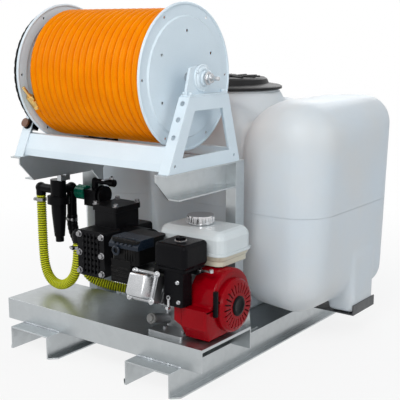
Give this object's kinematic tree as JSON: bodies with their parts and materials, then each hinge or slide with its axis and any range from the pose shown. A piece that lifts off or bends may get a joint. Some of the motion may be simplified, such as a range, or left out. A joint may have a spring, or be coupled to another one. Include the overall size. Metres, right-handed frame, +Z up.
{
  "type": "skid sprayer",
  "caption": "Skid mounted sprayer with fork rails, moulded tank with hinged lid, powered hose reel, small engine and diaphragm pump.",
  "frame": {"origin": "on the ground under the middle of the skid", "axes": "+X to the engine side, +Y from the deck to the tank, +Z up"},
  "size_m": [1.198, 1.2334, 1.2515],
  "materials": {
    "galvanised": "hot dip galvanised sheet",
    "dark_steel": "dark coat",
    "tank_poly": "translucent moulded polyethylene",
    "black_lid": "moulded",
    "bright_steel": "zinc plated",
    "black_plastic": "moulded",
    "white_coat": "bluish white powder coat",
    "orange_hose": "smooth jacket",
    "brass": "machined",
    "black_steel": "black coat",
    "brown_plastic": "moulded",
    "cast_aluminium": "cast",
    "fuel_white": "white enamel",
    "cap_chrome": "plated",
    "shroud_red": "gloss enamel",
    "grey_plastic": "moulded",
    "black_casting": "black coat over casting",
    "green_plastic": "moulded",
    "lime_hose": "ribbed"
  },
  "bodies": {
    "skid": {"left_rail": "galvanised", "right_rail": "galvanised", "engine_deck": "galvanised", "left_post": "galvanised", "right_post": "galvanised", "left_arm": "galvanised", "right_arm": "galvanised", "strainer_bracket": "galvanised", "tank_crossmember": "dark_steel", "tank_shell": "tank_poly", "lid_hinge_pin": "bright_steel", "hose_clamps": "bright_steel", "engine_bolts": "bright_steel", "tank_outlet": "black_plastic", "switch_box": "black_plastic", "air_cleaner": "black_plastic", "carburetor": "black_plastic", "manifold": "black_plastic", "strainer_head": "black_plastic", "left_side_frame": "white_coat", "right_side_frame": "white_coat", "front_bar": "white_coat", "rear_bar": "white_coat", "left_bearing": "white_coat", "right_bearing": "white_coat", "rewind_motor": "black_steel", "drive_chain": "black_steel", "muffler": "black_steel", "engine_block": "cast_aluminium", "valve_cover": "cast_aluminium", "fuel_tank": "fuel_white", "fan_shroud": "shroud_red", "recoil_cover": "shroud_red", "gearbox": "black_casting", "pump_body": "black_casting", "pump_heads": "black_casting", "suction_hose": "lime_hose", "tank_hose": "lime_hose"},
    "reel": {"left_disc": "white_coat", "right_disc": "white_coat", "drum": "white_coat", "reel_shaft": "bright_steel", "hose_core": "orange_hose", "hose_winding": "orange_hose", "hose_end_fitting": "brass", "drive_sprocket": "black_steel"},
    "motor_pinion": {"motor_sprocket": "black_steel"},
    "lid": {"tank_lid": "black_lid"},
    "button": {"rewind_button": "brown_plastic"},
    "filler_cap": {"fuel_cap": "cap_chrome"},
    "starter_grip": {"recoil_grip": "black_plastic"},
    "throttle": {"throttle_lever": "bright_steel"},
    "choke": {"choke_lever": "bright_steel"},
    "dipstick": {"oil_dipstick": "grey_plastic"},
    "cleaner_knob": {"air_cleaner_knob": "black_plastic"},
    "crank": {"crankshaft": "bright_steel"},
    "pressure_control": {"pressure_knob": "green_plastic"},
    "bypass_control": {"bypass_knob": "black_plastic"},
    "valve_handle": {"valve_lever": "bright_steel"},
    "bowl": {"strainer_bowl": "black_plastic"}
  },
  "joints": [
    {"name": "reel_spin", "type": "hinge", "parent": "skid", "child": "reel", "pos_m": [0, -0.375, 1.01], "axis": [1, 0, 0], "continuous": true},
    {"name": "motor_pinion_spin", "type": "hinge", "parent": "skid", "child": "motor_pinion", "pos_m": [-0.2925, -0.291, 0.728], "axis": [1, 0, 0], "continuous": true},
    {"name": "tank_lid_hinge", "type": "hinge", "parent": "skid", "child": "lid", "pos_m": [0, 0.486, 0.9355], "axis": [-1, 0, 0], "range_deg": [0, 110]},
    {"name": "rewind_button_push", "type": "slide", "parent": "skid", "child": "button", "axis": [0, 0.908, -0.4191], "range_m": [0, 0.006], "stiffness_N_per_m": 400},
    {"name": "fuel_cap_turn", "type": "hinge", "parent": "skid", "child": "filler_cap", "pos_m": [0.279, -0.3065, 0.512], "axis": [0, 0, 1], "range_deg": [0, 90]},
    {"name": "recoil_grip_pull", "type": "slide", "parent": "skid", "child": "starter_grip", "axis": [0, -1, 0], "range_m": [0, 0.07]},
    {"name": "throttle_swing", "type": "hinge", "parent": "skid", "child": "throttle", "pos_m": [0.382, -0.449, 0.393], "axis": [0, 0, 1], "range_deg": [-35, 20]},
    {"name": "choke_swing", "type": "hinge", "parent": "skid", "child": "choke", "pos_m": [0.322, -0.534, 0.313], "axis": [0, 1, 0], "range_deg": [-35, 35]},
    {"name": "dipstick_turn", "type": "hinge", "parent": "skid", "child": "dipstick", "pos_m": [0.238, -0.48, 0.209], "axis": [0, -0.9613, 0.2756], "range_deg": [0, 360]},
    {"name": "cleaner_knob_turn", "type": "hinge", "parent": "skid", "child": "cleaner_knob", "pos_m": [0.328, -0.48, 0.495], "axis": [0, 0, 1], "range_deg": [0, 360]},
    {"name": "crank_spin", "type": "hinge", "parent": "skid", "child": "crank", "pos_m": [0.29, -0.362, 0.269], "axis": [1, 0, 0], "continuous": true},
    {"name": "pressure_knob_turn", "type": "hinge", "parent": "skid", "child": "pressure_control", "pos_m": [-0.32, -0.26, 0.544], "axis": [-1, 0, 0], "range_deg": [-150, 150]},
    {"name": "bypass_knob_turn", "type": "hinge", "parent": "skid", "child": "bypass_control", "pos_m": [-0.21, -0.268, 0.546], "axis": [1, 0, 0], "range_deg": [-150, 150]},
    {"name": "valve_lever_turn", "type": "hinge", "parent": "skid", "child": "valve_handle", "pos_m": [-0.177, -0.254, 0.594], "axis": [0, 0, 1], "range_deg": [0, 90]},
    {"name": "strainer_bowl_turn", "type": "hinge", "parent": "skid", "child": "bowl", "pos_m": [-0.376, -0.34, 0.5], "axis": [0, 0, 1], "range_deg": [0, 90]}
  ],
  "couplings": [
    {"joint": "motor_pinion_spin", "follows": "reel_spin", "ratio": 6.7692}
  ]
}
